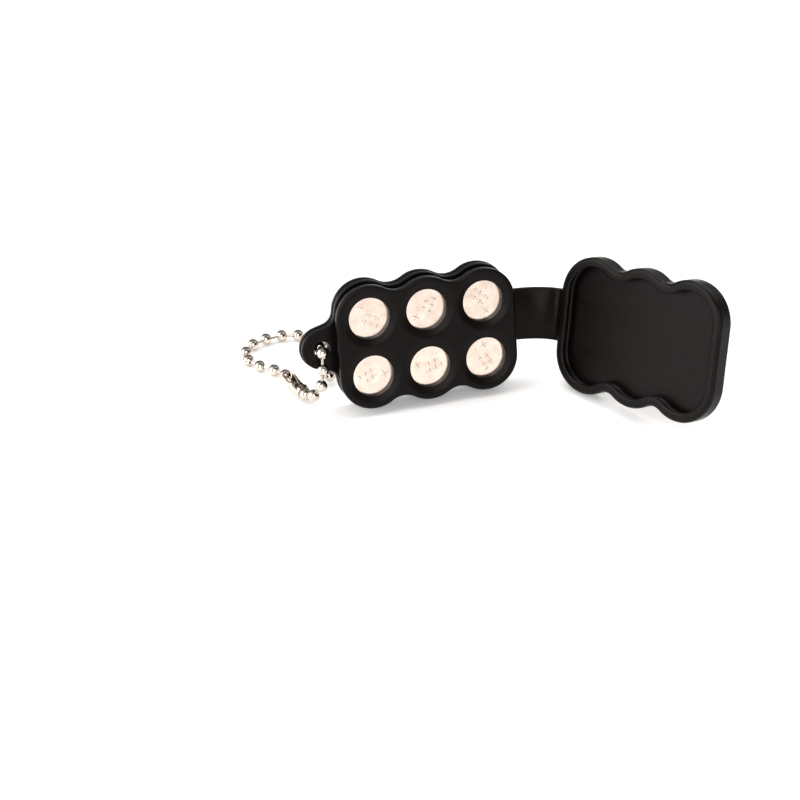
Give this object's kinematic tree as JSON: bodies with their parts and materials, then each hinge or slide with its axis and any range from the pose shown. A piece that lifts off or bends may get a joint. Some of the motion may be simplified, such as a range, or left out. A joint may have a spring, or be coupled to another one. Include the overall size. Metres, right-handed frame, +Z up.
{
  "type": "keyring button cell case",
  "caption": "Open moulded rubber keyring case for button cells: lobed tray with seated cells, flexible strap, lobed push-fit lid and a ball chain with clasp through a side lug.",
  "frame": {"origin": "middle of the bounding box's base, on the ground that the open case stands on", "axes": "+X along the tray from the chain's lug towards the lid, -Y the side that shows the cells, +Z up"},
  "size_m": [0.0986, 0.0832, 0.0373],
  "materials": {
    "rubber": "satin",
    "cell_can": "satin",
    "cell_cap": "satin",
    "cell_gasket": "matte",
    "cell_anode": "matte",
    "cell_separator": "matte",
    "cell_cathode": "matte",
    "chain_nickel": "polished",
    "chain_steel": "satin",
    "clasp_nickel": "polished"
  },
  "bodies": {
    "tray": {"tray": "rubber", "strap": "rubber", "pocket_lip_1": "rubber", "pocket_lip_2": "rubber", "pocket_lip_3": "rubber", "pocket_lip_4": "rubber", "pocket_lip_5": "rubber", "pocket_lip_6": "rubber", "chain_beads": "chain_nickel", "chain_links": "chain_steel", "chain_clasp": "clasp_nickel"},
    "lid": {"lid": "rubber", "lid_lip": "rubber"},
    "cell_1": {"cell_1_can": "cell_can", "cell_1_gasket": "cell_gasket", "cell_1_cap": "cell_cap", "cell_1_anode": "cell_anode", "cell_1_separator": "cell_separator", "cell_1_cathode": "cell_cathode"},
    "cell_2": {"cell_2_can": "cell_can", "cell_2_gasket": "cell_gasket", "cell_2_cap": "cell_cap", "cell_2_anode": "cell_anode", "cell_2_separator": "cell_separator", "cell_2_cathode": "cell_cathode"},
    "cell_3": {"cell_3_can": "cell_can", "cell_3_gasket": "cell_gasket", "cell_3_cap": "cell_cap", "cell_3_anode": "cell_anode", "cell_3_separator": "cell_separator", "cell_3_cathode": "cell_cathode"},
    "cell_4": {"cell_4_can": "cell_can", "cell_4_gasket": "cell_gasket", "cell_4_cap": "cell_cap", "cell_4_anode": "cell_anode", "cell_4_separator": "cell_separator", "cell_4_cathode": "cell_cathode"},
    "cell_5": {"cell_5_can": "cell_can", "cell_5_gasket": "cell_gasket", "cell_5_cap": "cell_cap", "cell_5_anode": "cell_anode", "cell_5_separator": "cell_separator", "cell_5_cathode": "cell_cathode"},
    "cell_6": {"cell_6_can": "cell_can", "cell_6_gasket": "cell_gasket", "cell_6_cap": "cell_cap", "cell_6_anode": "cell_anode", "cell_6_separator": "cell_separator", "cell_6_cathode": "cell_cathode"}
  },
  "joints": [
    {"name": "lid_fold", "type": "hinge", "parent": "tray", "child": "lid", "pos_m": [0.01853, 0.00596, 0.01557], "axis": [0.0732, 0.2799, 0.9572], "range_deg": [-116.5, 60], "deforming": ["strap", "lid_lip"]},
    {"name": "cell_1_slide", "type": "slide", "parent": "tray", "child": "cell_1", "axis": [0, -0.9755, 0.2198], "range_m": [0, 0.008], "deforming": ["pocket_lip_1"]},
    {"name": "cell_2_slide", "type": "slide", "parent": "tray", "child": "cell_2", "axis": [0, -0.9755, 0.2198], "range_m": [0, 0.008], "deforming": ["pocket_lip_2"]},
    {"name": "cell_3_slide", "type": "slide", "parent": "tray", "child": "cell_3", "axis": [0, -0.9755, 0.2198], "range_m": [0, 0.008], "deforming": ["pocket_lip_3"]},
    {"name": "cell_4_slide", "type": "slide", "parent": "tray", "child": "cell_4", "axis": [0, -0.9755, 0.2198], "range_m": [0, 0.008], "deforming": ["pocket_lip_4"]},
    {"name": "cell_5_slide", "type": "slide", "parent": "tray", "child": "cell_5", "axis": [0, -0.9755, 0.2198], "range_m": [0, 0.008], "deforming": ["pocket_lip_5"]},
    {"name": "cell_6_slide", "type": "slide", "parent": "tray", "child": "cell_6", "axis": [0, -0.9755, 0.2198], "range_m": [0, 0.008], "deforming": ["pocket_lip_6"]}
  ]
}
